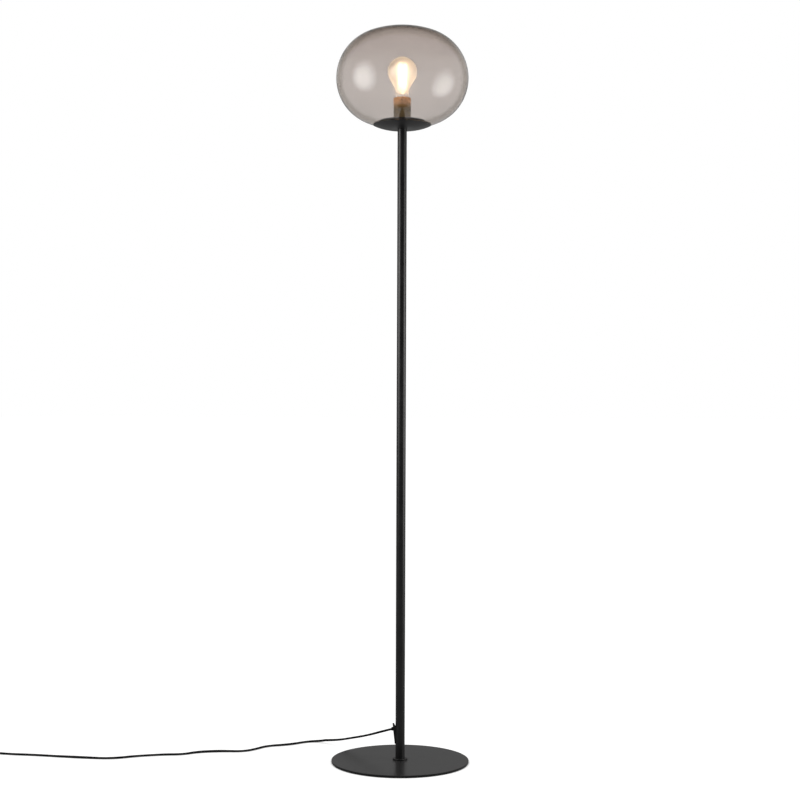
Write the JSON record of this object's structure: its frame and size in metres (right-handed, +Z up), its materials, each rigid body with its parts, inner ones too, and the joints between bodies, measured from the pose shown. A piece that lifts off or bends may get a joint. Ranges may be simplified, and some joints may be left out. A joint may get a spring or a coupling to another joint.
{
  "type": "globe floor lamp",
  "caption": "Floor lamp with a smoked glass globe on a slim black pole and a round base plate, with a mains lead, in-line foot switch and plug.",
  "frame": {"origin": "on the floor under the centre of the round base", "axes": "+Z up along the pole, -X towards the side where the mains lead leaves, -Y towards the viewer"},
  "size_m": [1.101, 0.3833, 1.5],
  "materials": {
    "black_metal": "satin black powder coat",
    "smoked_glass": "smoked warm grey, polished",
    "antique_brass": "antique bronze brass, satin",
    "plain_brass": "plain brass",
    "zinc_steel": "zinc plated",
    "black_phenolic": "black moulded insulator",
    "black_plastic": "fine matt black moulding",
    "black_rubber": "matt black soft moulding",
    "foam_rubber": "matt foam",
    "clear_glass": "clear",
    "frosted_glass": "lightly frosted",
    "filament": "warm phosphor",
    "bulb_cap_metal": "rolled bright",
    "clear_silicone": "milky silicone",
    "white_ceramic": "glazed ceramic"
  },
  "bodies": {
    "lamp": {"base_pad": "foam_rubber", "base_plate": "black_metal", "base_screw": "zinc_steel", "pole_foot": "black_metal", "pole_tube": "black_metal", "pole_top_plug": "zinc_steel", "cable_outlet": "black_rubber", "dish": "black_metal", "glass_locator": "black_metal", "glass_gasket": "clear_silicone", "threaded_nipple": "zinc_steel", "lock_washer": "zinc_steel", "clamp_nut": "zinc_steel", "holder_cover": "antique_brass", "holder_insert": "black_phenolic", "holder_shell": "plain_brass", "holder_contact": "plain_brass", "inner_cable": "black_plastic", "cord_run": "black_plastic", "cord_coil": "black_plastic", "cord_link": "black_plastic", "cord_tail": "black_plastic", "switch_base": "black_plastic", "switch_cover": "black_plastic", "switch_spring": "zinc_steel", "switch_mechanism": "white_ceramic", "switch_terminals": "white_ceramic", "switch_blades": "plain_brass", "terminal_screws": "zinc_steel", "switch_screws": "zinc_steel", "switch_sleeves": "black_rubber", "plug_body": "black_plastic", "plug_pins": "plain_brass"},
    "globe": {"glass_globe": "smoked_glass"},
    "bulb": {"bulb_eyelet": "plain_brass", "bulb_insulator": "black_phenolic", "bulb_cap": "bulb_cap_metal", "bulb_envelope": "frosted_glass", "bulb_stem": "clear_glass", "bulb_filaments": "filament"},
    "button": {"switch_button": "black_plastic"}
  },
  "joints": [
    {"name": "globe_lift", "type": "slide", "parent": "lamp", "child": "globe", "axis": [0, 0, 1], "range_m": [0, 0.15]},
    {"name": "bulb_lift", "type": "slide", "parent": "lamp", "child": "bulb", "axis": [0, 0, 1], "range_m": [0, 0.03]},
    {"name": "switch_press", "type": "slide", "parent": "lamp", "child": "button", "axis": [0, 0, -1], "range_m": [0, 0.0025], "stiffness_N_per_m": 600, "springref_m": -0.003, "deforming": ["switch_spring"]}
  ]
}
